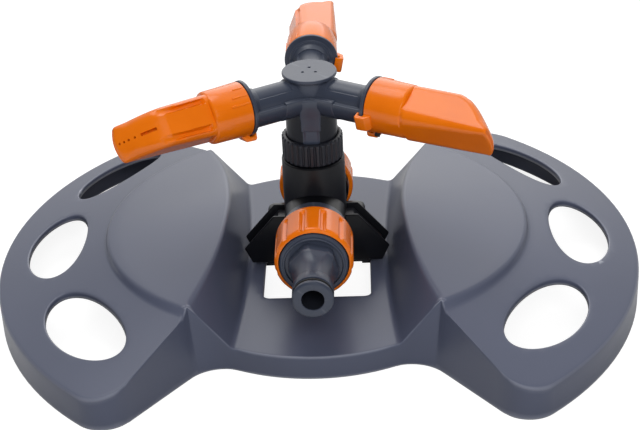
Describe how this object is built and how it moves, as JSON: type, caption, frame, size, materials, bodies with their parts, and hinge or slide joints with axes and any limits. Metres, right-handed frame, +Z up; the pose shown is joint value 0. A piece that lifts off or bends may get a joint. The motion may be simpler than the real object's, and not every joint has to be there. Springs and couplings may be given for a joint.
{
  "type": "circular sprinkler",
  "caption": "Rotating lawn sprinkler: a low butterfly-shaped base carries a tee with a hose connector and a spinning head whose arms end in slanted spray nozzles.",
  "frame": {"origin": "on the ground under the spinning head's axis, at the middle of the base's footprint", "axes": "+Z up along the head's axis, -Y the way the hose connector points, +X along the right wing of the base"},
  "size_m": [0.282, 0.218, 0.1051],
  "materials": {
    "slate_plastic": "satin moulded plastic",
    "charcoal_plastic": "satin moulded plastic",
    "dark_grey_plastic": "satin moulded plastic",
    "orange_plastic": "soft gloss moulded plastic",
    "black_rubber": "matt",
    "pale_acetal": "machined or moulded acetal"
  },
  "bodies": {
    "stand": {"base": "slate_plastic", "tee_body": "charcoal_plastic", "thrust_washer": "pale_acetal"},
    "spinner": {"head": "dark_grey_plastic", "spindle_seal": "black_rubber", "nozzle_seal_1": "black_rubber", "nozzle_seal_2": "black_rubber", "nozzle_seal_3": "black_rubber"},
    "spray_nozzle_1": {"nozzle_1": "orange_plastic", "nozzle_pin_1": "black_rubber"},
    "spray_nozzle_2": {"nozzle_2": "orange_plastic", "nozzle_pin_2": "black_rubber"},
    "spray_nozzle_3": {"nozzle_3": "orange_plastic", "nozzle_pin_3": "black_rubber"},
    "collar_slide": {"slip_ring": "pale_acetal"},
    "collar": {"retaining_collar": "charcoal_plastic"},
    "inlet_slide": {"connector_washer": "black_rubber"},
    "inlet": {"hose_connector": "dark_grey_plastic", "connector_grip_ring": "orange_plastic", "connector_o_ring": "black_rubber"},
    "outlet_slide": {"outlet_washer": "black_rubber"},
    "outlet": {"outlet_cap": "dark_grey_plastic", "outlet_grip_ring": "orange_plastic"}
  },
  "joints": [
    {"name": "head_spin", "type": "hinge", "parent": "stand", "child": "spinner", "pos_m": [0, 0, 0.07], "axis": [0, 0, 1], "continuous": true},
    {"name": "nozzle_turn_1", "type": "hinge", "parent": "spinner", "child": "spray_nozzle_1", "pos_m": [0, 0, 0.0934], "axis": [-0.866, -0.5, 0], "range_deg": [-38, 22]},
    {"name": "nozzle_turn_2", "type": "hinge", "parent": "spinner", "child": "spray_nozzle_2", "pos_m": [0, 0, 0.0934], "axis": [0.866, -0.5, 0], "range_deg": [-24, 36]},
    {"name": "nozzle_turn_3", "type": "hinge", "parent": "spinner", "child": "spray_nozzle_3", "pos_m": [0, 0, 0.0934], "axis": [0, 1, 0], "range_deg": [-21, 39]},
    {"name": "collar_travel", "type": "slide", "parent": "stand", "child": "collar_slide", "axis": [0, 0, 1], "range_m": [0, 0.00501]},
    {"name": "collar_turn", "type": "hinge", "parent": "collar_slide", "child": "collar", "pos_m": [0, 0, 0.068], "axis": [0, 0, 1], "range_deg": [0, 900]},
    {"name": "inlet_travel", "type": "slide", "parent": "stand", "child": "inlet_slide", "axis": [0, -1, 0], "range_m": [0, 0.0091]},
    {"name": "inlet_turn", "type": "hinge", "parent": "inlet_slide", "child": "inlet", "pos_m": [0, -0.04, 0.0367], "axis": [0, -1, 0], "range_deg": [0, 1800]},
    {"name": "outlet_travel", "type": "slide", "parent": "stand", "child": "outlet_slide", "axis": [0, 1, 0], "range_m": [0, 0.0073]},
    {"name": "outlet_turn", "type": "hinge", "parent": "outlet_slide", "child": "outlet", "pos_m": [0, 0.025, 0.0367], "axis": [0, 1, 0], "range_deg": [0, 1440]}
  ],
  "couplings": [
    {"joint": "collar_travel", "follows": "collar_turn", "m_per_rad": 0.00031831},
    {"joint": "inlet_travel", "follows": "inlet_turn", "m_per_rad": 0.00028871},
    {"joint": "outlet_travel", "follows": "outlet_turn", "m_per_rad": 0.00028871}
  ]
}
